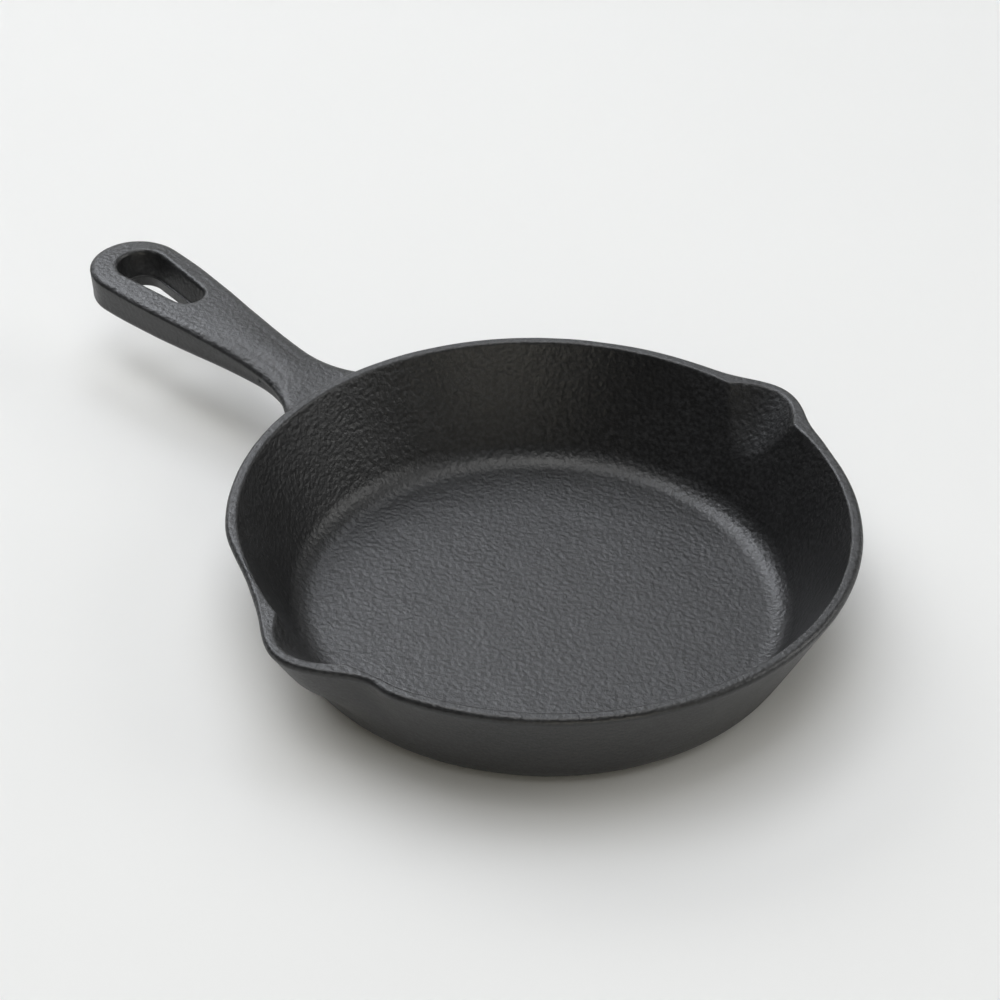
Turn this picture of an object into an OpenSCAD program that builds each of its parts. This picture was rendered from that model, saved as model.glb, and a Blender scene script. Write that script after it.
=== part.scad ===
// Small cast iron skillet with two pour spouts and a short handle that ends in a hanging eye.
// The real skillet is one sand casting. Each node below is one region of that casting, a closed
// solid that meets its neighbours face to face.
// The origin is the centre of the underside, +Z is up and +X runs out along the handle.

/* [Pan] */
// Outside diameter of the rim, the size the skillet is sold by
rim_diameter = 155; // [140:1:180]
// Height of the rim above the surface the skillet stands on
pan_height = 32.6; // [30:0.2:38]
// Angle by which the wall leans outward from upright, in degrees
wall_lean = 25.8; // [20:0.2:28]
// Thickness of the wall, square to its surface
wall_thickness = 3.3; // [2.8:0.1:4.2]
// Thickness of the cooking floor
floor_thickness = 4.2; // [3.4:0.1:5]
// Radius where the underside turns up into the wall
base_corner = 11; // [8:0.5:12]
// Radius where the cooking floor turns up into the wall
floor_corner = 8; // [5:0.5:9]
// Radius of the rim's outer edge
rim_outer_round = 1.3; // [0.8:0.1:1.5]
// Radius of the rim's inner edge
rim_inner_round = 0.9; // [0.5:0.1:1.2]
// Height of the band of casting that forms the rim
rim_band = 3; // [2.6:0.2:5]

/* [Pour spouts] */
// Angle of the left spout round from the handle, in degrees
left_spout_angle = -95; // [-100:0.5:-85]
// Angle of the right spout round from the handle, in degrees
right_spout_angle = 87; // [82:0.5:95]
// How far a spout's tip stands out from the round rim
spout_reach = 5.8; // [4:0.1:8]
// How steeply the outside of a spout runs out to its tip, outward against sideways
spout_flank = 0.82; // [0.6:0.02:1]
// Size of the rounding round the outside of a spout's tip
spout_tip_round = 9; // [5:0.5:12]
// Height at which the outside of a spout starts to swell out of the wall
spout_start = 10; // [9.5:0.5:14]
// How far a spout's groove runs out past the round inside of the rim
groove_reach = 6.4; // [4:0.1:8]
// How steeply the sides of a groove run out to its bottom, outward against sideways
groove_flank = 1.4; // [1:0.05:1.8]
// Size of the rounding in the bottom of a groove
groove_round = 13; // [8:0.5:16]
// Height at which a groove starts in the wall
groove_start = 18.5; // [17:0.5:22]
// Depth by which the rim is drawn in beside the right spout, on the side of the handle
pinch_by_handle = 2.1; // [0:0.1:2.4]
// Depth by which the rim is drawn in beside the right spout, on the side away from the handle
pinch_away = 2.4; // [0:0.1:2.6]

/* [Handle] */
// Distance from the pan's centre to the tip of the handle
handle_reach = 167.8; // [160:0.1:185]
// Half the handle's width at its narrowest
neck_half = 8.2; // [7.5:0.1:10]
// Half the handle's width across the hanging eye
eye_half = 13.1; // [12:0.1:15]
// Height of the underside of the hanging eye
handle_bottom = 23.2; // [22:0.2:26]
// How fast the handle's underside rises from the eye toward the pan
bottom_slope = 0.028; // [0:0.002:0.05]
// Height of the handle's top face where the eye begins
eye_top = 32.9; // [31.5:0.1:35]
// Rounding of the handle's upper edges
handle_top_round = 2.2; // [1:0.1:3]
// Rounding of the handle's lower edges
handle_bottom_round = 2.2; // [1:0.1:3]
// How much the handle's sides draw in from the top down to the underside
side_draft = 0.5; // [0:0.1:0.8]

/* [Hanging hole] */
// Half the hole's width at its wide end, measured at its narrowest level
hole_wide = 5.2; // [4:0.1:6.5]
// Half the hole's width at its narrow end, measured at its narrowest level
hole_narrow = 3.1; // [2.2:0.1:4]
// Distance between the centres of the hole's two round ends
hole_run = 18.6; // [12:0.2:19]
// How much the hole widens from its narrowest level up to the top face, with the ledge
hole_draft_top = 1.4; // [0.4:0.1:2]
// How much the hole widens from its narrowest level down to the underside
hole_draft_bottom = 0.6; // [0.3:0.1:1.5]
// Width of the ledge inside the hole, where the two halves of the mould met
hole_ledge = 0.6; // [0:0.1:1]
// How far the hole lies to the left of the handle's middle line
hole_offset = 0.7; // [0:0.1:1]

/* [Hidden] */
iron = [0.12, 0.12, 0.125];
$fn = 180;

rim_r = rim_diameter / 2;
lean_run = tan(wall_lean);              // outward run of the wall for each unit of height
lean_stretch = 1 / cos(wall_lean);      // sideways thickness for each unit of square thickness

// The outer rounding of the rim touches the wall line and the rim's largest radius.
rim_round_z = pan_height - rim_outer_round;
rim_round_r = rim_r - rim_outer_round;
base_r = rim_round_r + rim_outer_round * lean_stretch - rim_round_z * lean_run;
inner_base_r = base_r - wall_thickness * lean_stretch;
rim_inner_z = pan_height - rim_inner_round;
rim_inner_r = inner_wall_r(rim_inner_z) + rim_inner_round * lean_stretch;

// Length from a rounded corner's sharp point to where its rounding begins
corner_run = tan((90 - wall_lean) / 2);
base_corner_r = base_r - base_corner * corner_run;
floor_corner_r = inner_wall_r(floor_thickness) - floor_corner * corner_run;
heel_band = floor_thickness + floor_corner * corner_run * cos(wall_lean) + 0.3;
// Radius of the flat disc, inside both rounded corners
floor_disc_r = min(base_corner_r, floor_corner_r);
rim_band_z = pan_height - rim_band;

arc_steps = 10;
// Softness of the crease between a spout and the round wall, outside and inside
spout_soft = 3.5;
groove_soft = 0.6;
// Sector that a spout fills, in degrees toward the handle and away from it
sector = [52, 28];
// Distances from a spout's axis over which its shape fades into the round wall, on those two sides
fade_by_handle = [38, 52];
fade_away = [20, 29];
// Distance from the right spout's axis and width of each drawn-in place, on those two sides
pinch_spot = [29, 13];
pinch_spot_away = [19, 9];
// Share of that drawing in that the inside of the wall follows
inner_pinch = 0.3;
spout_steps = 44;
// Height over which a spout grows out of the wall
spout_ease = 10;
wall_steps = 11;
overlap = 1;

// Places along the handle
wall_x = outer_wall_r(27);
root_end = 96;
eye_start = 126;
eye_center = handle_reach - eye_half;
// Slope of the eye's top face, and how fast the top face drops toward the pan
eye_slope = 0.03;
top_curve = 0.00105;
// How far the handle spreads where it joins the wall: sideways, upward and downward
flare_side = 15;
flare_up = 1.8;
flare_down = 5;
flare_side_run = root_end - wall_x;
flare_up_run = 6;
flare_down_run = 12;
parting_height = 3.2;                   // parting line above the handle's underside
root_steps = 16;
grip_steps = 10;
// Points across the handle's top face, and as many across its underside
columns = 18;
corner_steps = 6;
end_steps = 28;
hole_sides = 48;
hole_center = eye_center - 1;

function outer_wall_r(z) = base_r + z * lean_run;
function inner_wall_r(z) = inner_base_r + z * lean_run;
function clamp01(v) = min(1, max(0, v));
function smooth_step(a, b, v) = let (t = clamp01((v - a) / (b - a))) t * t * (3 - 2 * t);
function soft_max(a, b, k) = (a + b + sqrt((a - b) * (a - b) + k * k)) / 2;

// Points on an arc in the radius and height plane
function arc(r, z, radius, from, to, steps) =
    [for (i = [0 : steps]) let (a = from + (to - from) * i / steps)
        [r + radius * cos(a), z + radius * sin(a)]];

function bell(s, spot) = exp(-pow((s - spot[0]) / spot[1], 2));

// Inward dip of the rim beside a pinched spout, at a distance s from its axis toward the handle
function pinch_dip(s) = pinch_by_handle * bell(s, pinch_spot) + pinch_away * bell(-s, pinch_spot_away);

// Outward bulge of a spout's nose: a rounded ridge that falls away steadily on both sides
function nose(s, reach, flank, tip_round) =
    reach - flank * (sqrt(s * s + tip_round * tip_round) - tip_round);

// Share of a spout's shape that is left at a distance s from its axis and a height z
function spout_window(s, z) =
    let (fade = s > 0 ? fade_by_handle : fade_away)
    (1 - smooth_step(fade[0], fade[1], abs(s)))
    * smooth_step(spout_start, spout_start + spout_ease, z);

// Outward push of the outside of the wall, and of its inside
function outer_push(s, z, dip) =
    let (
        rise = sqrt(clamp01((z - spout_start) / (pan_height - spout_start))),
        up = smooth_step(spout_start, pan_height, z)
    )
    soft_max(nose(s, spout_reach * rise, spout_flank, spout_tip_round), -dip * up, spout_soft)
        * spout_window(s, z);
function inner_push(s, z, dip) =
    let (
        rise = (z - groove_start) / (pan_height - groove_start),
        up = smooth_step(spout_start, pan_height, z)
    )
    soft_max(nose(s, groove_reach * rise, groove_flank, groove_round), -dip * inner_pinch * up, groove_soft)
        * spout_window(s, z);

// Quarter-ellipse swelling: full at the wall, nothing at the given distance from it
function swell(distance, run) = let (t = 1 - clamp01(distance / run)) 1 - sqrt(max(0, 1 - t * t));

// Half width, underside and top of the handle at a place x along it
function half_width(x) = x > eye_center ? sqrt(max(0, pow(eye_half, 2) - pow(x - eye_center, 2)))
    : neck_half + (eye_half - neck_half) * smooth_step(root_end, eye_center, x);
function bottom_z(x) = handle_bottom + bottom_slope * max(0, eye_start - x);
function top_z(x) = eye_top + eye_slope * (x - eye_start) - top_curve * pow(max(0, eye_start - x), 2);

// Height lost to a rounded edge at a distance in from that edge
function edge_drop(distance, round) =
    distance >= round ? 0 : round - sqrt(max(0, round * round - (round - distance) * (round - distance)));

// One cross-section of the handle: across the top face, then back across the underside.
// Its points crowd toward the edges, so that the rounded corners come out smooth.
function section(half, top, bottom) =
    let (across = [for (i = [0 : columns]) half * sin(-90 + 180 * i / columns)])
    concat(
        [for (y = across) [y, top - edge_drop(half - abs(y), handle_top_round)]],
        [for (i = [columns : -1 : 0]) [across[i] * (half - side_draft) / half,
            bottom + edge_drop(half - abs(across[i]), handle_bottom_round)]]
    );

// A cross-section of the handle's root. Near the wall it spreads, and bends round the wall.
function root_ring(x) =
    let (
        from_wall = x - wall_x,
        half = half_width(x) + flare_side * swell(from_wall, flare_side_run),
        top = top_z(x) + flare_up * swell(from_wall, flare_up_run),
        bottom = bottom_z(x) - flare_down * swell(from_wall, flare_down_run),
        follow = 1 - smooth_step(wall_x, root_end, x)
    )
    [for (p = section(half, top, bottom))
        [x + follow * (sqrt(pow(outer_wall_r(p[1]), 2) - p[0] * p[0]) - wall_x), p[0], p[1]]];

function grip_ring(x) = [for (p = section(half_width(x), top_z(x), bottom_z(x))) [x, p[0], p[1]]];

// Joins rings of points into one closed solid. A ring runs along one side of the solid and back
// along the other. Strips between the two sides cover each end, so a curved end stays curved.
module skin(rings) {
    count = len(rings[0]);
    far = (len(rings) - 1) * count;
    points = [for (ring = rings) each ring];
    walls = [for (k = [0 : count : far - 1]) for (i = [0 : count - 1]) let (n = (i + 1) % count)
        each [[k + i, k + n, k + count + n], [k + i, k + count + n, k + count + i]]];
    strips = [for (i = [0 : count / 2 - 2])
        each [[i, i + 1, count - 2 - i], [i, count - 2 - i, count - 1 - i]]];
    polyhedron(points, concat(walls,
        [for (f = strips) [f[2], f[1], f[0]]],
        [for (f = strips) [far + f[0], far + f[1], far + f[2]]]));
}

// The outer or the inner line of the pan's wall between two heights
function wall_line(low, high, inner) =
    [for (i = [0 : wall_steps]) let (z = low + (high - low) * i / wall_steps)
        [inner ? inner_wall_r(z) : outer_wall_r(z), z]];

function rim_outer_arc() = arc(rim_round_r, rim_round_z, rim_outer_round, -wall_lean, 90, arc_steps);
function rim_inner_arc() = arc(rim_inner_r, rim_inner_z, rim_inner_round, 180 - wall_lean, 90, arc_steps);

// One cross-section of a spout at an angle from its axis, counted toward the handle
function spout_ring(axis, handle_side, angle, pinched) =
    let (
        outer_arc = rim_outer_arc(),
        inner_arc = rim_inner_arc(),
        outer = concat(wall_line(spout_start, outer_arc[0][1] - 0.4, false), outer_arc),
        inner = concat(wall_line(spout_start, inner_arc[0][1] - 0.4, true), inner_arc),
        last = len(inner) - 1,
        turn = axis + handle_side * angle,
        outside = [for (p = outer) let (s = p[0] * sin(angle), dip = pinched ? pinch_dip(s) : 0)
            [p[0] + outer_push(s, p[1], dip), p[1]]],
        inside = [for (p = inner) let (s = p[0] * sin(angle), dip = pinched ? pinch_dip(s) : 0)
            [p[0] + inner_push(s, p[1], dip), p[1]]],
        ring = concat(outside, [for (i = [last : -1 : 0]) inside[i]])
    )
    [for (p = ring) [p[0] * cos(turn), p[0] * sin(turn), p[1]]];

// A spout, swept in the direction in which angles grow. The handle's side is 1 or -1.
module spout(axis, handle_side, pinched) {
    start = handle_side > 0 ? -sector[1] : sector[0];
    step = handle_side * (sector[0] + sector[1]) / spout_steps;
    skin([for (i = [0 : spout_steps]) spout_ring(axis, handle_side, start + i * step, pinched)]);
}

// The two sectors that the spouts fill, from their start up
module spout_sectors() {
    reach = rim_diameter * 2;
    for (side = [[left_spout_angle - sector[1], left_spout_angle + sector[0]],
                 [right_spout_angle - sector[0], right_spout_angle + sector[1]]])
        translate([0, 0, spout_start])
            linear_extrude(pan_height)
                polygon([[0, 0], for (a = side) reach * [cos(a), sin(a)]]);
}

// Flat round floor that the food cooks on
module pan_floor() {
    color(iron) cylinder(h = floor_thickness, r = floor_disc_r);
}

// Rounded heel round the floor, which turns it up into the wall inside and out
module pan_heel() {
    color(iron) rotate_extrude()
        polygon(concat(
            [[floor_disc_r, floor_thickness], [floor_disc_r, 0]],
            arc(base_corner_r, base_corner, base_corner, -90, -wall_lean, arc_steps),
            [[outer_wall_r(heel_band), heel_band], [inner_wall_r(heel_band), heel_band]],
            arc(floor_corner_r, floor_thickness + floor_corner, floor_corner, -wall_lean, -90, arc_steps)
        ));
}

// Wall that leans outward, open where the spouts fill it
module side_wall() {
    color(iron) difference() {
        rotate_extrude()
            polygon([
                [outer_wall_r(heel_band), heel_band], [outer_wall_r(rim_band_z), rim_band_z],
                [inner_wall_r(rim_band_z), rim_band_z], [inner_wall_r(heel_band), heel_band]
            ]);
        spout_sectors();
    }
}

// Rounded band round the top of the wall, in two lengths between the spouts
module rim_lip() {
    inner_arc = rim_inner_arc();
    color(iron) difference() {
        rotate_extrude()
            polygon(concat(
                [[outer_wall_r(rim_band_z), rim_band_z]],
                rim_outer_arc(),
                [for (i = [arc_steps : -1 : 0]) inner_arc[i]],
                [[inner_wall_r(rim_band_z), rim_band_z]]
            ));
        spout_sectors();
    }
}

// Spouts to the left and right of someone who holds the handle and looks at the pan
module pour_spout_left() {
    color(iron) spout(left_spout_angle, 1, false);
}

module pour_spout_right() {
    color(iron) spout(right_spout_angle, -1, true);
}

// Root of the handle, which spreads along the wall below the rim
module handle_root() {
    color(iron) skin([for (i = [0 : root_steps]) let (t = i / root_steps)
        root_ring(wall_x + (root_end - wall_x) * pow(t, 1.5))]);
}

// Straight stretch of the handle that the hand closes on
module handle_grip() {
    color(iron) skin([for (i = [0 : grip_steps])
        grip_ring(root_end + (eye_start - root_end) * i / grip_steps)]);
}

// Outline of the eye, drawn in by an inset, with each point's height given by a side of the handle
function eye_loop(inset, down, from_top) =
    let (
        flank = [for (i = [0 : grip_steps]) let (x = eye_start + (eye_center - eye_start) * i / grip_steps)
            [x, -(half_width(x) - inset)]],
        round_end = [for (i = [1 : end_steps - 1]) let (a = -90 + 180 * i / end_steps)
            [eye_center + (eye_half - inset) * cos(a), (eye_half - inset) * sin(a)]],
        outline = concat(flank, round_end, [for (i = [grip_steps : -1 : 0]) [flank[i][0], -flank[i][1]]])
    )
    [for (p = outline) [p[0], p[1], from_top ? top_z(p[0]) - down : handle_bottom + down]];

// Stacks closed loops of points, highest first, into one solid with a flat top and underside
module stack(loops) {
    count = len(loops[0]);
    low = (len(loops) - 1) * count;
    polyhedron([for (loop = loops) each loop], concat(
        [[for (i = [count - 1 : -1 : 0]) i]],
        [for (k = [0 : count : low - 1]) for (i = [0 : count - 1]) let (n = (i + 1) % count)
            each [[k + i, k + n, k + count + n], [k + i, k + count + n, k + count + i]]],
        [[for (i = [0 : count - 1]) low + i]]
    ));
}

// One half of the hanging hole, tapered from its narrowest level out past a face of the handle
module hole_half(ledge, draft, depth) {
    hull() {
        translate([hole_center, -hole_offset, 0])
            cylinder(h = depth, r1 = hole_wide + ledge, r2 = hole_wide + draft, $fn = hole_sides);
        translate([hole_center - hole_run, -hole_offset, 0])
            cylinder(h = depth, r1 = hole_narrow + ledge, r2 = hole_narrow + draft, $fn = hole_sides);
    }
}

// Round end of the handle with the teardrop hole that it hangs from
module hanging_eye() {
    parting_z = handle_bottom + parting_height;
    top_depth = top_z(handle_reach) - parting_z;
    color(iron) difference() {
        stack(concat(
            [for (i = [0 : corner_steps]) let (a = 90 - 90 * i / corner_steps)
                eye_loop(handle_top_round * (1 - cos(a)), handle_top_round * (1 - sin(a)), true)],
            [for (i = [0 : corner_steps]) let (a = 90 * i / corner_steps, round = handle_bottom_round)
                eye_loop(side_draft + round * (1 - cos(a)), round * (1 - sin(a)), false)]
        ));
        translate([0, 0, parting_z - 0.01]) hole_half(hole_ledge, hole_draft_top, top_depth + overlap);
        translate([0, 0, parting_z + 0.01]) mirror([0, 0, 1])
            hole_half(0, hole_draft_bottom, parting_height + overlap);
    }
}

pan_floor();
pan_heel();
side_wall();
rim_lip();
pour_spout_left();
pour_spout_right();
handle_root();
handle_grip();
hanging_eye();
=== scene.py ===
"""Looks of a small cast iron skillet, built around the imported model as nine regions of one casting."""

import math

import bpy
import numpy as np
from mathutils import Matrix, Vector

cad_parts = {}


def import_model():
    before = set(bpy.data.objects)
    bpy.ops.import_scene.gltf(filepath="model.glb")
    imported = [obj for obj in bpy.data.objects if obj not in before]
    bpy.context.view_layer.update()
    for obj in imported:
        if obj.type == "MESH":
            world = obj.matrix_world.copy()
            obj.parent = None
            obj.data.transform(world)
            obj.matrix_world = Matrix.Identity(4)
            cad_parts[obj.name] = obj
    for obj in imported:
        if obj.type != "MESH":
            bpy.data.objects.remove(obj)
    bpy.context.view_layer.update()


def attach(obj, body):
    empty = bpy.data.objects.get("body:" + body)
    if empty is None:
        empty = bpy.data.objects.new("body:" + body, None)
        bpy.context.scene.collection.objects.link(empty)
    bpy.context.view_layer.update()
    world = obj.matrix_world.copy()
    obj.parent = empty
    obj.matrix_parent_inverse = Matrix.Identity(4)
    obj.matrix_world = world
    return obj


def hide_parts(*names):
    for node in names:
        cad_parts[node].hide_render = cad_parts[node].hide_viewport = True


MM = 0.001

# Pan, in millimetres and degrees
RIM_RADIUS = 77.5
PAN_HEIGHT = 32.6
WALL_LEAN = math.radians(25.8)
WALL_THICKNESS = 3.3
FLOOR_THICKNESS = 4.2
BASE_CORNER = 11.0
FLOOR_CORNER = 8.0
RIM_OUTER_ROUND = 1.3
RIM_INNER_ROUND = 0.9
RIM_BAND = 3.0
HEEL_MARGIN = 0.3

# Pour spouts: the outside of the nose, and the narrower groove inside it
LEFT_SPOUT_ANGLE = -95.0
RIGHT_SPOUT_ANGLE = 87.0
SPOUT_REACH = 5.8
SPOUT_FLANK = 0.82
SPOUT_TIP_ROUND = 9.0
SPOUT_SOFT = 3.5
SPOUT_START = 10.0
SPOUT_EASE = 10.0
GROOVE_REACH = 6.4
GROOVE_FLANK = 1.4
GROOVE_ROUND = 13.0
GROOVE_SOFT = 0.6
GROOVE_START = 18.5
# Sector that a spout fills, in degrees toward the handle and away from it
SPOUT_SECTOR = (52.0, 28.0)
# Distances from the spout's axis over which its shape fades into the round wall
FADE_TOWARD_HANDLE = (38.0, 52.0)
FADE_AWAY = (20.0, 29.0)
# Where the rim is drawn in beside the right spout: depth, distance from the axis and width
PINCH_TOWARD_HANDLE = (2.1, 29.0, 13.0)
PINCH_AWAY = (2.4, 19.0, 9.0)
INNER_PINCH = 0.3

# Handle
HANDLE_REACH = 167.8
NECK_HALF = 8.2
EYE_HALF = 13.1
HANDLE_BOTTOM = 23.2
BOTTOM_SLOPE = 0.028
EYE_TOP = 32.9
EYE_SLOPE = 0.03
TOP_CURVE = 0.00105
SIDE_DRAFT = 0.5
PARTING_HEIGHT = 3.2
BOTTOM_ROUND = 2.2
CROWN = 0.5
# Run inward and drop of the upper edge's rounding, at the neck and at the eye
TOP_ROUND_NECK = (4.6, 1.9)
TOP_ROUND_EYE = (3.0, 1.4)
TOP_ROUND_BLEND = (95.0, 140.0)
# Height at which the handle's root is centred on the wall
ROOT_HEIGHT = 27.0
ROOT_END = 96.0
EYE_START = 126.0
FLARE_SIDE = 15.0
FLARE_UP = 1.8
FLARE_DOWN = 5.0
FLARE_UP_RUN = 6.0
FLARE_DOWN_RUN = 12.0

# Hanging hole
HOLE_WIDE = 5.2
HOLE_NARROW = 3.1
HOLE_RUN = 18.6
HOLE_DRAFT_TOP = 1.4
HOLE_DRAFT_BOTTOM = 0.25
HOLE_LEDGE = 0.6
HOLE_EDGE_ROUND = 1.3
HOLE_LOWER_ROUND = 0.35
LEDGE_HOLLOW = 0.3
LEDGE_NOSE = 0.15
HOLE_SIDE = -0.7

# Mesh density
COLUMNS = 720
ROOT_RINGS = 46
GRIP_RINGS = 50
EYE_STATIONS = 168
FACE_POINTS = 30
SIDE_STEPS = 4
ROUND_STEPS = 9

# Depth of the gentle unevenness of the hand-finished casting
UNEVEN_DEPTH = 0.1

LEAN_RUN = math.tan(WALL_LEAN)
LEAN_STRETCH = 1 / math.cos(WALL_LEAN)
BASE_R = (
    RIM_RADIUS
    - RIM_OUTER_ROUND
    + RIM_OUTER_ROUND * LEAN_STRETCH
    - (PAN_HEIGHT - RIM_OUTER_ROUND) * LEAN_RUN
)
INNER_BASE_R = BASE_R - WALL_THICKNESS * LEAN_STRETCH
CORNER_RUN = math.tan((math.pi / 2 - WALL_LEAN) / 2)
# Radii between which the rim's top is flat
RIM_FLAT_OUTER = RIM_RADIUS - RIM_OUTER_ROUND
RIM_FLAT_INNER = INNER_BASE_R + (PAN_HEIGHT - RIM_INNER_ROUND) * LEAN_RUN + RIM_INNER_ROUND * LEAN_STRETCH
EYE_CENTER = HANDLE_REACH - EYE_HALF


def outer_wall_r(z):
    return BASE_R + z * LEAN_RUN


def inner_wall_r(z):
    return INNER_BASE_R + z * LEAN_RUN


def smooth_step(low, high, value):
    t = np.clip((value - low) / (high - low), 0.0, 1.0)
    return t * t * (3 - 2 * t)


def soft_max(a, b, softness):
    return (a + b + np.sqrt((a - b) ** 2 + softness**2)) / 2


WALL_X = outer_wall_r(ROOT_HEIGHT)


# ---------------------------------------------------------------- casting built from patches


class Casting:
    """Patches of one continuous surface, each in a named region, and the hidden walls between them."""

    def __init__(self):
        self.points = []
        self.count = 0
        self.quads = []
        self.regions = []
        self.hidden = []

    def add_points(self, points):
        points = np.asarray(points, float).reshape(-1, 3)
        start = self.count
        self.points.append(points)
        self.count += len(points)
        return np.arange(start, self.count)

    def add_quads(self, quads, region, hidden=False):
        quads = np.asarray(quads, np.int64).reshape(-1, 4)
        self.quads.append(quads)
        self.regions += [region] * len(quads)
        self.hidden += [hidden] * len(quads)

    def add_grid(self, ids, region, hidden=False, flip=False):
        """Quads over a grid of point numbers."""
        a, b, c, d = ids[:-1, :-1], ids[:-1, 1:], ids[1:, 1:], ids[1:, :-1]
        corners = (a, d, c, b) if flip else (a, b, c, d)
        self.add_quads(np.stack([v.ravel() for v in corners], 1), region, hidden)

    def weld(self):
        points = np.concatenate(self.points)
        keys = np.round(points * 2000).astype(np.int64)
        _, first, inverse = np.unique(keys, axis=0, return_index=True, return_inverse=True)
        self.points = points[first]
        self.quads = inverse.ravel()[np.concatenate(self.quads)]
        self.regions = np.array(self.regions)
        self.hidden = np.array(self.hidden)

    def normals(self):
        """Smooth normals of the outside surface, which run on across the joins between regions."""
        shown = self.quads[~self.hidden]
        a, b, c, d = (self.points[shown[:, i]] for i in range(4))
        face = np.cross(c - a, d - b)
        total = np.zeros_like(self.points)
        for i in range(4):
            np.add.at(total, shown[:, i], face)
        length = np.linalg.norm(total, axis=1)
        return total / np.maximum(length, 1e-12)[:, None]

    def press_in(self, depth):
        """Moves each point inward along its normal by the depth given for it."""
        self.points = self.points - self.normals() * depth(self.points)[:, None]

    def pieces(self, finish):
        """One closed mesh object for each region."""
        normals = self.normals()
        made = {}
        for region in dict.fromkeys(self.regions):
            mine = self.regions == region
            made[region] = self.piece(region, self.quads[mine], self.hidden[mine], normals, finish)
        return made

    def piece(self, name, quads, hidden, normals, finish):
        used, local = np.unique(quads, return_inverse=True)
        local = local.reshape(-1, 4)
        faces = []
        kept = []
        for row, quad in enumerate(local.tolist()):
            corners = list(dict.fromkeys(quad))
            if len(corners) > 2:
                faces.append(corners)
                kept.append(row)
        hidden = hidden[kept]
        mesh = bpy.data.meshes.new(name)
        mesh.from_pydata((self.points[used] * MM).tolist(), [], faces)
        mesh.polygons.foreach_set("use_smooth", ~hidden)
        sizes = np.array([len(f) for f in faces])
        corner_points = used[np.concatenate(faces)]
        corner_normals = normals[corner_points]
        corner_normals[np.repeat(hidden, sizes)] = 0.0
        mesh.normals_split_custom_set(corner_normals.tolist())
        mesh.update()
        piece = bpy.data.objects.new(name, mesh)
        bpy.context.scene.collection.objects.link(piece)
        piece.data.materials.append(finish)
        return piece


def resample(points, steps):
    """A polyline of the given points, cut into equal steps along its length."""
    points = np.asarray(points, float)
    lengths = np.concatenate([[0], np.cumsum(np.linalg.norm(np.diff(points, axis=0), axis=1))])
    wanted = np.linspace(0, lengths[-1], steps + 1)
    return np.stack([np.interp(wanted, lengths, points[:, i]) for i in range(points.shape[1])], 1)


def arc(r, z, radius, start, end, steps=24):
    """Points on an arc in the radius and height plane, from one angle to another."""
    angles = np.linspace(start, end, steps + 1)
    return np.stack([r + radius * np.cos(angles), z + radius * np.sin(angles)], 1)


def unevenness(points):
    """A smooth wandering value from 0 to 1, with waves of 9 to 40 mm."""
    random = np.random.default_rng(11)
    total = np.zeros(len(points))
    waves = 26
    for _ in range(waves):
        direction = random.normal(size=3)
        direction /= np.linalg.norm(direction)
        wavelength = random.uniform(9.0, 40.0)
        total += np.sin(points @ direction * (2 * math.pi / wavelength) + random.uniform(0, 2 * math.pi))
    return np.clip(0.5 + total / math.sqrt(waves) * 0.35, 0.0, 1.0)


def uneven_depth(points):
    """How far the casting lies under its drawn surface: nothing on the face it stands on."""
    return UNEVEN_DEPTH * unevenness(points) * smooth_step(0.0, 3.0, points[:, 2])


# ---------------------------------------------------------------- pan


def bump(s, place, width):
    return np.exp(-(((s - place) / width) ** 2))


def spout_push(s, z, inside, pinched):
    """Outward push of the wall at a distance s from a spout's axis, toward the handle, and a height z."""
    if inside:
        reach = GROOVE_REACH * (z - GROOVE_START) / (PAN_HEIGHT - GROOVE_START)
        flank, tip_round, softness, share = GROOVE_FLANK, GROOVE_ROUND, GROOVE_SOFT, INNER_PINCH
    else:
        reach = SPOUT_REACH * np.sqrt(np.clip((z - SPOUT_START) / (PAN_HEIGHT - SPOUT_START), 0.0, 1.0))
        flank, tip_round, softness, share = SPOUT_FLANK, SPOUT_TIP_ROUND, SPOUT_SOFT, 1.0
    nose = reach - flank * (np.sqrt(s * s + tip_round**2) - tip_round)
    drawn_in = 0.0
    if pinched:
        depth, place, width = PINCH_TOWARD_HANDLE
        depth_away, place_away, width_away = PINCH_AWAY
        drawn_in = depth * bump(s, place, width) + depth_away * bump(s, -place_away, width_away)
    dip = -share * drawn_in * smooth_step(SPOUT_START, PAN_HEIGHT, z)
    fade = np.where(s > 0, smooth_step(*FADE_TOWARD_HANDLE, s), smooth_step(*FADE_AWAY, -s))
    window = (1 - fade) * smooth_step(SPOUT_START, SPOUT_START + SPOUT_EASE, z)
    return soft_max(nose, dip, softness) * window


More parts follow.
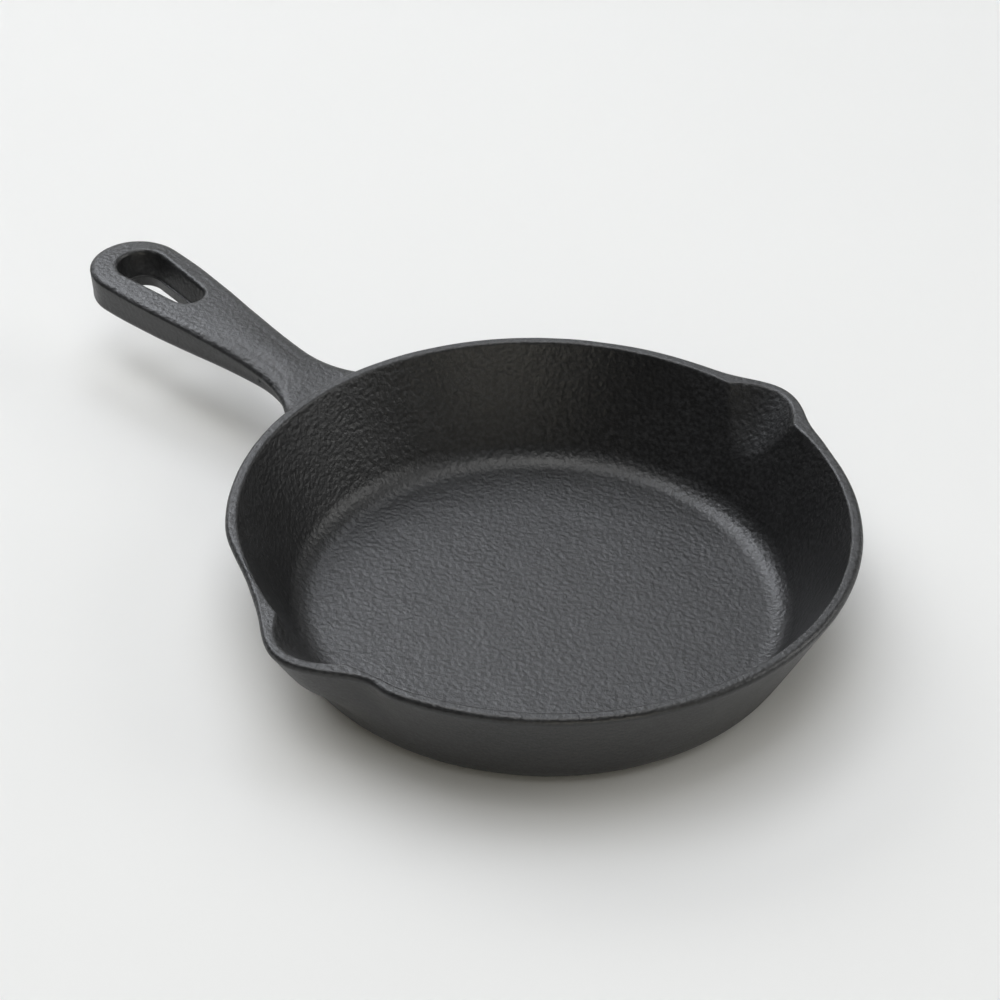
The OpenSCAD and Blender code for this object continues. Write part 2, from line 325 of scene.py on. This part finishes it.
def pan_profile():
    """Rows of (radius, height) outside and inside the pan, in step, and the row where each band ends."""
    quarter = math.pi / 2
    base_corner_r = BASE_R - BASE_CORNER * CORNER_RUN
    floor_corner_r = inner_wall_r(FLOOR_THICKNESS) - FLOOR_CORNER * CORNER_RUN
    disc_r = min(base_corner_r, floor_corner_r)
    heel_z = FLOOR_THICKNESS + FLOOR_CORNER * CORNER_RUN * math.cos(WALL_LEAN) + HEEL_MARGIN
    band_z = PAN_HEIGHT - RIM_BAND
    inner_z = PAN_HEIGHT - RIM_INNER_ROUND
    middle = [[(RIM_FLAT_OUTER + RIM_FLAT_INNER) / 2, PAN_HEIGHT]]

    def walls(low, high):
        return (
            [[outer_wall_r(low), low], [outer_wall_r(high), high]],
            [[inner_wall_r(low), low], [inner_wall_r(high), high]],
        )

    bands = [
        ("disc", 44, ([[0, 0], [disc_r, 0]], [[0, FLOOR_THICKNESS], [disc_r, FLOOR_THICKNESS]])),
        (
            "heel",
            24,
            (
                np.vstack([
                    [[disc_r, 0]],
                    arc(base_corner_r, BASE_CORNER, BASE_CORNER, -quarter, -WALL_LEAN),
                    [[outer_wall_r(heel_z), heel_z]],
                ]),
                np.vstack([
                    [[disc_r, FLOOR_THICKNESS]],
                    arc(floor_corner_r, FLOOR_THICKNESS + FLOOR_CORNER, FLOOR_CORNER, -quarter, -WALL_LEAN),
                    [[inner_wall_r(heel_z), heel_z]],
                ]),
            ),
        ),
        ("low_wall", 2, walls(heel_z, SPOUT_START)),
        ("high_wall", 34, walls(SPOUT_START, band_z)),
        (
            "rim",
            18,
            (
                np.vstack([
                    [[outer_wall_r(band_z), band_z]],
                    arc(RIM_FLAT_OUTER, PAN_HEIGHT - RIM_OUTER_ROUND, RIM_OUTER_ROUND, -WALL_LEAN, quarter),
                    middle,
                ]),
                np.vstack([
                    [[inner_wall_r(band_z), band_z]],
                    arc(RIM_FLAT_INNER, inner_z, RIM_INNER_ROUND, math.pi - WALL_LEAN, quarter),
                    middle,
                ]),
            ),
        ),
    ]
    outer, inner, ends = [[[0, 0]]], [[[0, FLOOR_THICKNESS]]], {}
    row = 0
    for name, steps, (outside, inside) in bands:
        outer.append(resample(outside, steps)[1:])
        inner.append(resample(inside, steps)[1:])
        row += steps
        ends[name] = row
    return np.vstack(outer), np.vstack(inner), ends


def spouts():
    """For each spout: name, angle of its axis, side of the handle, and whether the rim is drawn in."""
    return (
        ("pour_spout_left", LEFT_SPOUT_ANGLE, 1, False),
        ("pour_spout_right", RIGHT_SPOUT_ANGLE, -1, True),
    )


def turn_from(axis, angles):
    """Angles measured from an axis, from -180 to 180 degrees."""
    return (angles - axis + 180.0) % 360.0 - 180.0


def around(profile, angles, inside):
    """Grid of points of a profile turned round the pan's axis and pushed out at the spouts."""
    r, z = profile[:, :1], profile[:, 1:]
    # Across the flat top of the rim the outside's push passes over into the inside's
    across = np.clip((RIM_FLAT_OUTER - r) / (RIM_FLAT_OUTER - RIM_FLAT_INNER), 0.0, 1.0)
    share = np.where(z > PAN_HEIGHT - 1e-6, across, float(inside))
    push = np.zeros((len(profile), len(angles)))
    for _, axis, toward_handle, pinched in spouts():
        turn = np.radians(turn_from(axis, angles))[None, :] * toward_handle
        s = r * np.sin(turn)
        both = spout_push(s, z, False, pinched) * (1 - share) + spout_push(s, z, True, pinched) * share
        push += np.where(np.cos(turn) > 0, both, 0.0)
    radians = np.radians(angles)[None, :]
    reach = r + push
    return np.stack([reach * np.cos(radians), reach * np.sin(radians), z + 0 * reach], 2)


def pan_regions(ends, rows, angles):
    """Name of the region that each cell of the wall's grid belongs to."""
    regions = np.full((rows, len(angles)), "side_wall", dtype="<U20")
    regions[: ends["disc"]] = "pan_floor"
    regions[ends["disc"] : ends["heel"]] = "pan_heel"
    regions[ends["high_wall"] :] = "rim_lip"
    step = 360.0 / len(angles)
    for name, axis, toward_handle, _ in spouts():
        turn = turn_from(axis, angles + step / 2) * toward_handle
        inside = (turn < SPOUT_SECTOR[0]) & (turn > -SPOUT_SECTOR[1])
        regions[ends["low_wall"] :, inside] = name
    return regions


def cast_pan(casting):
    outer, inner, ends = pan_profile()
    rows = len(outer) - 1
    angles = np.arange(COLUMNS) * 360.0 / COLUMNS
    outside = casting.add_points(around(outer, angles, False)).reshape(rows + 1, COLUMNS)
    inside = casting.add_points(around(inner, angles, True)).reshape(rows + 1, COLUMNS)
    outside = np.hstack([outside, outside[:, :1]])
    inside = np.hstack([inside, inside[:, :1]])
    regions = pan_regions(ends, rows, angles)
    for region in dict.fromkeys(regions.ravel()):
        row, column = np.nonzero(regions == region)
        for side, flip in ((outside, False), (inside, True)):
            quad = [
                side[row, column],
                side[row, column + 1],
                side[row + 1, column + 1],
                side[row + 1, column],
            ]
            if flip:
                quad.reverse()
            # Turned so that the front of every face looks out of the iron
            casting.add_quads(np.stack(quad, 1), region)
        hide_cuts(casting, regions, region, outside, inside)


def hide_cuts(casting, regions, region, outside, inside):
    """Walls through the iron that close one region where it meets another."""
    rows, columns = regions.shape
    mine = regions == region
    for row in range(rows - 1):
        below = np.nonzero(mine[row] & ~mine[row + 1])[0]
        above = np.nonzero(mine[row + 1] & ~mine[row])[0]
        for where, turned in ((below, False), (above, True)):
            if len(where):
                quad = [
                    outside[row + 1, where],
                    outside[row + 1, where + 1],
                    inside[row + 1, where + 1],
                    inside[row + 1, where],
                ]
                if turned:
                    quad.reverse()
                casting.add_quads(np.stack(quad, 1), region, hidden=True)
    for column in range(columns):
        before = mine[:, column - 1]
        here = mine[:, column]
        starts, stops = np.nonzero(here & ~before)[0], np.nonzero(before & ~here)[0]
        for where, turned in ((starts, False), (stops, True)):
            if len(where):
                quad = [
                    outside[where, column],
                    outside[where + 1, column],
                    inside[where + 1, column],
                    inside[where, column],
                ]
                if turned:
                    quad.reverse()
                casting.add_quads(np.stack(quad, 1), region, hidden=True)


# ---------------------------------------------------------------- handle


def half_width(x):
    """Half the handle's width at a place along it."""
    return NECK_HALF + (EYE_HALF - NECK_HALF) * smooth_step(ROOT_END, EYE_CENTER, x)


def bottom_z(x):
    return HANDLE_BOTTOM + BOTTOM_SLOPE * np.maximum(0.0, EYE_START - x)


def top_z(x):
    return EYE_TOP + EYE_SLOPE * (x - EYE_START) - TOP_CURVE * np.maximum(0.0, EYE_START - x) ** 2


def swell(distance, run):
    """Quarter-ellipse swelling: full at the wall, nothing at the given distance from it."""
    t = 1 - np.clip(distance / run, 0.0, 1.0)
    return 1 - np.sqrt(np.maximum(0.0, 1 - t * t))


def top_round(x):
    """How far the rounding of the handle's upper edge runs inward and down."""
    crisp = smooth_step(*TOP_ROUND_BLEND, x)
    return [neck + (eye - neck) * crisp for neck, eye in zip(TOP_ROUND_NECK, TOP_ROUND_EYE)]


def edge_drop(x):
    """How far the edges of the gently crowned top face lie under its level."""
    return CROWN / 2 * smooth_step(WALL_X, ROOT_END, x)


def side_profile(x, top, bottom):
    """Rows of (inset, height) from the parting line up to the top face, and down to the underside."""
    run, drop = top_round(x)
    parting = bottom + PARTING_HEIGHT
    quarter = math.pi / 2
    side_z = np.linspace(parting, top - drop, SIDE_STEPS + 1)
    side = np.stack([SIDE_DRAFT * (1 - (side_z - parting) / (top - drop - parting)), side_z], 1)
    angles = np.linspace(0, quarter, ROUND_STEPS + 1)[1:]
    upper = np.stack([run * (1 - np.cos(angles)), top - drop * (1 - np.sin(angles))], 1)
    low_z = [[SIDE_DRAFT, parting]]
    low_angles = np.linspace(0, quarter, SIDE_STEPS + ROUND_STEPS)
    low_inset = SIDE_DRAFT + BOTTOM_ROUND * (1 - np.cos(low_angles))
    low_height = bottom + BOTTOM_ROUND * (1 - np.sin(low_angles))
    lower = np.stack([low_inset, low_height], 1)
    return np.vstack([side, upper]), np.vstack([low_z, lower])


def section(x):
    """Points across the top and across the underside of the handle, as (sideways place, height)."""
    half, top, bottom = section_sizes(x)
    drop = edge_drop(x)
    upper, lower = side_profile(x, top - drop, bottom)
    # Toward the eye the crown sinks, so that its middle comes level with the rim of the hole
    rise = drop * (2 - smooth_step(EYE_START - 20, EYE_START, x))
    rows = []
    for edge, crown in ((upper, rise), (lower, 0.0)):
        left = np.stack([-(half - edge[:, 0]), edge[:, 1]], 1)
        across = np.linspace(left[-1, 0], -left[-1, 0], FACE_POINTS + 1)[1:-1]
        face = np.stack([across, left[-1, 1] + crown * (1 - (across / left[-1, 0]) ** 2)], 1)
        right = np.stack([-left[::-1, 0], left[::-1, 1]], 1)
        rows.append(np.vstack([left, face, right]))
    return rows


def section_sizes(x):
    from_wall = x - WALL_X
    half = half_width(x) + FLARE_SIDE * swell(from_wall, ROOT_END - WALL_X)
    top = top_z(x) + FLARE_UP * swell(from_wall, FLARE_UP_RUN)
    bottom = bottom_z(x) - FLARE_DOWN * swell(from_wall, FLARE_DOWN_RUN)
    return half, top, bottom


def ring(x):
    """A cross-section of the handle in place. Near the wall it bends round the wall."""
    follow = 1 - smooth_step(WALL_X, ROOT_END, x)
    rows = []
    for row in section(x):
        y, z = row[:, 0], row[:, 1]
        bend = np.sqrt(outer_wall_r(z) ** 2 - y * y) - WALL_X
        rows.append(np.stack([x + follow * bend, y, z], 1))
    return rows


def cast_rings(casting, places, region):
    """A closed length of the handle over the given places along it."""
    tops, bottoms = zip(*[ring(x) for x in places])
    upper = casting.add_points(np.array(tops)).reshape(len(places), -1)
    lower = casting.add_points(np.array(bottoms)).reshape(len(places), -1)
    casting.add_grid(upper, region, flip=True)
    casting.add_grid(lower, region)
    for end, turned in ((0, False), (-1, True)):
        casting.add_grid(np.stack([upper[end], lower[end]]), region, hidden=True, flip=turned)


def eye_outline():
    """Stations round the eye, from corner to corner by way of the tip, and their inward directions."""
    x = np.linspace(EYE_START, EYE_CENTER, 200)
    flank = np.stack([x, -half_width(x)], 1)
    angles = np.linspace(-math.pi / 2, math.pi / 2, 300)[1:-1]
    tip = np.stack([EYE_CENTER + EYE_HALF * np.cos(angles), EYE_HALF * np.sin(angles)], 1)
    outline = resample(np.vstack([flank, tip, flank[::-1] * [1, -1]]), EYE_STATIONS)
    along = np.gradient(outline, axis=0)
    inward = np.stack([-along[:, 1], along[:, 0]], 1)
    inward /= np.linalg.norm(inward, axis=1)[:, None]
    # At the grip the eye's profile stands square to the handle, as the grip's sections do
    square = np.stack([np.zeros(len(outline)), -np.sign(outline[:, 1])], 1)
    settle = smooth_step(0.0, 8.0, outline[:, 0] - EYE_START)[:, None]
    inward = square * (1 - settle) + inward * settle
    return outline, inward / np.linalg.norm(inward, axis=1)[:, None]


def hole_direction(loop):
    """For each point of a loop: the matching point on the hole's middle line, radius and direction."""
    wide_x = EYE_CENTER - 1
    narrow_x = wide_x - HOLE_RUN
    taper = math.asin((HOLE_WIDE - HOLE_NARROW) / HOLE_RUN)
    share = np.clip((loop[:, 0] - narrow_x) / HOLE_RUN, 0.0, 1.0)
    middle_x = narrow_x + HOLE_RUN * share
    sideways = loop[:, 1] - HOLE_SIDE
    angle = np.arctan2(np.abs(sideways), loop[:, 0] - middle_x)
    quarter = math.pi / 2
    wide = angle * (quarter + taper) / quarter
    narrow = math.pi - (math.pi - angle) * (quarter - taper) / quarter
    angle = np.where(share >= 1, wide, np.where(share <= 0, narrow, quarter + taper))
    side = np.where(sideways < 0, -1.0, 1.0)
    direction = np.stack([np.cos(angle), side * np.sin(angle)], 1)
    middle = np.stack([middle_x, np.full(len(loop), HOLE_SIDE)], 1)
    return middle, HOLE_NARROW + (HOLE_WIDE - HOLE_NARROW) * share, direction


def hole_profile(top, bottom):
    """Rows of (widening, height) down the hole's wall, past its ledge, from the top to the bottom."""
    parting = bottom + PARTING_HEIGHT
    edge, lower_edge = HOLE_EDGE_ROUND, HOLE_LOWER_ROUND
    quarter = math.pi / 2
    angles = np.linspace(quarter, 0, ROUND_STEPS)
    rounded_in = HOLE_DRAFT_TOP + edge * (1 - np.cos(angles))
    rounded = np.stack([rounded_in, top - edge * (1 - np.sin(angles))], 1)
    foot = np.array([HOLE_LEDGE, parting + LEDGE_HOLLOW])
    upper = rounded[-1] + (foot - rounded[-1]) * np.linspace(0, 1, 8)[1:, None]
    angles = np.linspace(0, quarter, 5)[1:]
    across, down = 1 - np.cos(angles), np.sin(angles)
    corner = np.stack([HOLE_LEDGE - LEDGE_HOLLOW * across, foot[1] - LEDGE_HOLLOW * down], 1)
    lip = np.stack([LEDGE_NOSE * (1 - down), parting - LEDGE_NOSE * across], 1)
    lower_top = bottom + lower_edge
    drop = np.linspace(0, 1, 6)[1:]
    lower = np.stack([HOLE_DRAFT_BOTTOM * drop, lip[-1, 1] + (lower_top - lip[-1, 1]) * drop], 1)
    angles = np.linspace(0, quarter, 6)[1:]
    under_in = HOLE_DRAFT_BOTTOM + lower_edge * (1 - np.cos(angles))
    under = np.stack([under_in, lower_top - lower_edge * np.sin(angles)], 1)
    return np.vstack([rounded, upper, corner, lip, lower, under])


def cast_eye(casting):
    """Round end of the handle: its edge, its faces round the hole, the hole's wall and the hidden cut."""
    region = "hanging_eye"
    outline, inward = eye_outline()
    upper_rows, lower_rows = [], []
    for point, direction in zip(outline, inward):
        upper, lower = side_profile(point[0], top_z(point[0]) - edge_drop(point[0]), HANDLE_BOTTOM)
        for rows, edge in ((upper_rows, upper), (lower_rows, lower)):
            plan = point + direction * edge[:, :1]
            rows.append(np.hstack([plan, edge[:, 1:]]))
    upper_rows, lower_rows = np.array(upper_rows), np.array(lower_rows)
    upper_rows[:, -1, 2] = top_z(upper_rows[:, -1, 0]) - edge_drop(upper_rows[:, -1, 0])
    upper = casting.add_points(upper_rows).reshape(len(outline), -1)
    lower = casting.add_points(lower_rows).reshape(len(outline), -1)
    casting.add_grid(upper, region, flip=True)
    casting.add_grid(lower, region)

    tops, bottoms = ring(EYE_START)
    edge_count = SIDE_STEPS + ROUND_STEPS + 1
    cut_top = tops[::-1][edge_count:-edge_count]
    cut_bottom = bottoms[::-1][edge_count:-edge_count]
    top_loop = np.vstack([upper_rows[:, -1], cut_top])
    bottom_loop = np.vstack([lower_rows[:, -1], cut_bottom])
    middle, radius, direction = hole_direction(top_loop[:, :2])
    walls = []
    for place, size, way in zip(middle, radius, direction):
        rough = place + way * (size + HOLE_DRAFT_TOP)
        profile = hole_profile(top_z(rough[0]), HANDLE_BOTTOM)
        plan = place + way * (size + profile[:, :1])
        walls.append(np.hstack([plan, profile[:, 1:]]))
    walls = np.array(walls)
    close = np.r_[np.arange(len(top_loop)), 0]
    wall_ids = casting.add_points(walls).reshape(len(walls), -1)[close]
    casting.add_grid(wall_ids, region, flip=True)
    for loop, edge, is_top in ((top_loop, walls[:, 0], True), (bottom_loop, walls[:, -1], False)):
        share = np.linspace(0, 1, 9)[None, :, None]
        face = loop[:, None] * (1 - share) + edge[:, None] * share
        ids = casting.add_points(face).reshape(len(loop), -1)[close]
        casting.add_grid(ids, region, flip=is_top)
    cut = casting.add_points(np.stack([tops, bottoms])).reshape(2, -1)
    casting.add_grid(cut, region, hidden=True)


def cast_handle(casting):
    turn = np.linspace(0, math.pi / 2, ROOT_RINGS + 1)
    root_places = WALL_X + (ROOT_END - WALL_X) * (1 - np.cos(turn))
    cast_rings(casting, root_places, "handle_root")
    cast_rings(casting, np.linspace(ROOT_END, EYE_START, GRIP_RINGS + 1), "handle_grip")
    cast_eye(casting)


# ---------------------------------------------------------------- finish

# Colours and roughness of the seasoned iron, between its dark and its pale patches
IRON_DARK = (0.010, 0.0101, 0.0105, 1.0)
IRON_PALE = (0.024, 0.0243, 0.0255, 1.0)
IRON_ROUGHNESS = (0.39, 0.46)
# Waves to the metre of the patches and of the three sizes of grain
PATCH_SCALE = 45.0
PEBBLE_SCALE = 720.0
GRAIN_SCALE = 900.0
FINE_SCALE = 2600.0
# Depth of the grain in metres, and its share on the outside and the underside
GRAIN_DEPTH = 0.0002
OUTSIDE_GRAIN = 0.3
PAPER_DARK = (0.86, 0.86, 0.85, 1.0)
PAPER_PALE = (0.88, 0.88, 0.87, 1.0)


class Nodes:
    """Short ways to add and join nodes in one material."""

    def __init__(self, material):
        self.tree = material.node_tree

    def add(self, kind, **settings):
        node = self.tree.nodes.new(kind)
        for name, value in settings.items():
            setattr(node, name, value)
        return node

    def join(self, source, target):
        self.tree.links.new(source, target)

    def noise(self, coordinate, scale, detail=2.0, roughness=0.5):
        node = self.add("ShaderNodeTexNoise")
        node.inputs["Scale"].default_value = scale
        node.inputs["Detail"].default_value = detail
        node.inputs["Roughness"].default_value = roughness
        self.join(coordinate, node.inputs["Vector"])
        return node.outputs["Fac"]

    def ramp(self, source, low, high, out_low, out_high):
        node = self.add("ShaderNodeMapRange")
        node.interpolation_type = "SMOOTHSTEP"
        node.inputs["From Min"].default_value = low
        node.inputs["From Max"].default_value = high
        node.inputs["To Min"].default_value = out_low
        node.inputs["To Max"].default_value = out_high
        self.join(source, node.inputs["Value"])
        return node.outputs["Result"]

    def math(self, operation, a, b):
        node = self.add("ShaderNodeMath", operation=operation)
        for socket, value in zip(node.inputs, (a, b)):
            if isinstance(value, (int, float)):
                socket.default_value = value
            else:
                self.join(value, socket)
        return node.outputs[0]

    def mix(self, factor, a, b):
        node = self.add("ShaderNodeMix", data_type="RGBA")
        self.join(factor, node.inputs["Factor"])
        for socket, value in ((node.inputs[6], a), (node.inputs[7], b)):
            if isinstance(value, tuple):
                socket.default_value = value
            else:
                self.join(value, socket)
        return node.outputs[2]


def cast_iron():
    """Seasoned black iron with the fine pebbled skin of a sand mould."""
    material = bpy.data.materials.new("cast_iron_seasoned")
    material.use_nodes = True
    nodes = Nodes(material)
    shader = material.node_tree.nodes["Principled BSDF"]
    place = nodes.add("ShaderNodeTexCoord").outputs["Object"]

    patches = nodes.noise(place, PATCH_SCALE, 3.0, 0.55)
    grain = nodes.noise(place, GRAIN_SCALE, 2.5, 0.55)
    fine = nodes.noise(place, FINE_SCALE, 1.5, 0.5)
    pebble = nodes.add("ShaderNodeTexVoronoi", feature="SMOOTH_F1")
    pebble.inputs["Scale"].default_value = PEBBLE_SCALE
    pebble.inputs["Smoothness"].default_value = 0.5
    nodes.join(place, pebble.inputs["Vector"])

    speckle = nodes.ramp(grain, 0.35, 0.7, 0.0, 1.0)
    paleness = nodes.math("MULTIPLY", speckle, nodes.ramp(patches, 0.3, 0.7, 0.45, 1.0))
    nodes.join(nodes.mix(paleness, IRON_DARK, IRON_PALE), shader.inputs["Base Color"])

    shader.inputs["Specular IOR Level"].default_value = 0.5
    broad = nodes.ramp(patches, 0.3, 0.7, *IRON_ROUGHNESS)
    rough = nodes.math("ADD", broad, nodes.ramp(fine, 0.3, 0.7, -0.04, 0.04))
    nodes.join(rough, shader.inputs["Roughness"])

    height = nodes.math("ADD", grain, nodes.math("MULTIPLY", fine, 0.25))
    height = nodes.math("SUBTRACT", height, nodes.math("MULTIPLY", pebble.outputs["Distance"], 0.6))
    bump = nodes.add("ShaderNodeBump")
    bump.inputs["Distance"].default_value = GRAIN_DEPTH
    # The faces that look up show the most grain, the outside and the underside are smoother
    facing = nodes.add("ShaderNodeSeparateXYZ")
    nodes.join(nodes.add("ShaderNodeTexCoord").outputs["Normal"], facing.inputs["Vector"])
    nodes.join(nodes.ramp(facing.outputs["Z"], -0.2, 0.35, OUTSIDE_GRAIN, 1.0), bump.inputs["Strength"])
    nodes.join(height, bump.inputs["Height"])
    nodes.join(bump.outputs["Normal"], shader.inputs["Normal"])
    return material


def table_finish():
    """Pale matt studio paper."""
    material = bpy.data.materials.new("studio_paper")
    material.use_nodes = True
    nodes = Nodes(material)
    shader = material.node_tree.nodes["Principled BSDF"]
    place = nodes.add("ShaderNodeTexCoord").outputs["Object"]
    shade = nodes.noise(place, 6.0, 2.0, 0.5)
    nodes.join(nodes.mix(shade, PAPER_DARK, PAPER_PALE), shader.inputs["Base Color"])
    shader.inputs["Roughness"].default_value = 0.9
    shader.inputs["Specular IOR Level"].default_value = 0.2
    return material


# ---------------------------------------------------------------- studio

CAMERA_ELEVATION = math.radians(36.646)
CAMERA_TURN = math.radians(224.0)
CAMERA_ROLL = math.radians(1.224)
CAMERA_DISTANCE = 690.6
AIM_RIGHT = 10.756
AIM_UP = -2.691
LENS = 102.16


def make_table():
    """A sheet of paper that lies flat under the skillet and curves up far behind it."""
    flat, bend_radius, height, half = 900.0, 400.0, 900.0, 3000.0
    bend = np.linspace(0, math.pi / 2, 24)
    line = [[-1500.0, 0.0]] + [
        [flat + bend_radius * math.sin(a), bend_radius * (1 - math.cos(a))] for a in bend
    ]
    line.append([flat + bend_radius, height])
    points = [[side * half, depth, z] for depth, z in line for side in (-1, 1)]
    faces = [[2 * i, 2 * i + 1, 2 * i + 3, 2 * i + 2] for i in range(len(line) - 1)]
    mesh = bpy.data.meshes.new("studio_table")
    mesh.from_pydata((np.array(points) * MM).tolist(), [], faces)
    mesh.polygons.foreach_set("use_smooth", [True] * len(faces))
    table = bpy.data.objects.new("studio_table", mesh)
    bpy.context.scene.collection.objects.link(table)
    # The sheet's far end is behind the skillet as the camera sees it
    table.rotation_euler = (0, 0, CAMERA_TURN)
    table.data.materials.append(table_finish())


def make_camera():
    back = Vector((
        math.sin(CAMERA_TURN) * math.cos(CAMERA_ELEVATION),
        -math.cos(CAMERA_TURN) * math.cos(CAMERA_ELEVATION),
        math.sin(CAMERA_ELEVATION),
    ))
    level_right = Vector((math.cos(CAMERA_TURN), math.sin(CAMERA_TURN), 0.0))
    level_up = back.cross(level_right)
    right = level_right * math.cos(CAMERA_ROLL) + level_up * math.sin(CAMERA_ROLL)
    up = back.cross(right)
    rim_center = Vector((0, 0, PAN_HEIGHT))
    place = rim_center + back * CAMERA_DISTANCE - right * AIM_RIGHT - up * AIM_UP
    data = bpy.data.cameras.new("camera")
    data.sensor_width = 36.0
    data.lens = LENS
    data.clip_start = 0.05
    data.clip_end = 20.0
    camera = bpy.data.objects.new("camera", data)
    turn = Matrix((right, up, back)).transposed().to_4x4()
    camera.matrix_world = Matrix.Translation(place * MM) @ turn
    bpy.context.scene.collection.objects.link(camera)
    bpy.context.scene.camera = camera


def soft_light(name, place, size, power, color, gloss=True, matt=True):
    """A softbox that faces the skillet. It can be kept out of glossy reflections or off matt surfaces."""
    data = bpy.data.lights.new(name, "AREA")
    data.shape = "RECTANGLE"
    data.size, data.size_y = size
    data.energy = power
    data.color = color
    light = bpy.data.objects.new(name, data)
    light.location = place
    light.rotation_euler = (-place).to_track_quat("-Z", "Y").to_euler()
    light.visible_glossy = gloss
    light.visible_diffuse = matt
    bpy.context.scene.collection.objects.link(light)


def seen(right, back, up):
    """A place to the right of, behind and above the skillet as the camera sees it, in metres."""
    across = Vector((math.cos(CAMERA_TURN), math.sin(CAMERA_TURN), 0.0))
    away = Vector((-math.sin(CAMERA_TURN), math.cos(CAMERA_TURN), 0.0))
    return across * right + away * back + Vector((0, 0, up))


def make_studio():
    make_table()
    make_camera()
    neutral, cool, warm = (1.0, 1.0, 0.98), (0.97, 1.0, 1.06), (1.05, 1.0, 0.86)
    # Softboxes that light the paper and shape the shadows
    soft_light("overhead", seen(-0.15, 0.2, 1.6), (1.5, 1.5), 13.1, cool, gloss=False)
    soft_light("above_left", seen(-0.7, 0.0, 1.5), (0.8, 0.8), 2.5, neutral, gloss=False)
    soft_light("above_front", seen(0.0, -0.7, 1.5), (0.8, 0.8), 5.2, neutral, gloss=False)
    soft_light("behind", seen(0.0, 1.4, 1.0), (1.4, 1.0), 3.8, neutral, gloss=False)
    soft_light("behind_left", seen(-1.0, 1.0, 1.0), (1.0, 0.8), 6.7, neutral, gloss=False)
    soft_light("in_front", seen(0.0, -1.4, 0.9), (1.4, 1.0), 3.8, warm, gloss=False)
    soft_light("right_side", seen(1.4, 0.1, 1.0), (1.2, 1.0), 4.8, neutral, gloss=False)
    # Cards that only show as a sheen on the iron
    soft_light("top_card", seen(0.0, 0.2, 1.7), (1.2, 1.0), 13.4, neutral, matt=False)
    soft_light("back_card", seen(-0.2, 1.1, 1.3), (1.4, 0.7), 7.8, cool, matt=False)
    soft_light("back_left_card", seen(-0.7, 1.0, 1.2), (0.8, 0.6), 10.5, cool, matt=False)
    soft_light("low_left_card", seen(-0.8, 1.4, 0.8), (0.8, 0.6), 3.1, cool, matt=False)
    soft_light("right_card", seen(1.5, 0.1, 0.8), (1.0, 0.8), 10.6, neutral, matt=False)
    soft_light("front_card", seen(0.5, -1.6, 0.25), (1.4, 0.4), 6.0, warm, matt=False)
    world = bpy.data.worlds.new("studio")
    world.use_nodes = True
    background = world.node_tree.nodes["Background"]
    background.inputs["Color"].default_value = (1.0, 1.0, 0.99, 1.0)
    background.inputs["Strength"].default_value = 0.005
    scene = bpy.context.scene
    scene.world = world
    scene.view_settings.view_transform = "Standard"


def main():
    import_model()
    finish = cast_iron()
    casting_pan, casting_handle = Casting(), Casting()
    cast_pan(casting_pan)
    cast_handle(casting_handle)
    for casting in (casting_pan, casting_handle):
        casting.weld()
        casting.press_in(uneven_depth)
        for name, piece in casting.pieces(finish).items():
            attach(piece, "root")
            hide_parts(name)
    make_studio()


main()
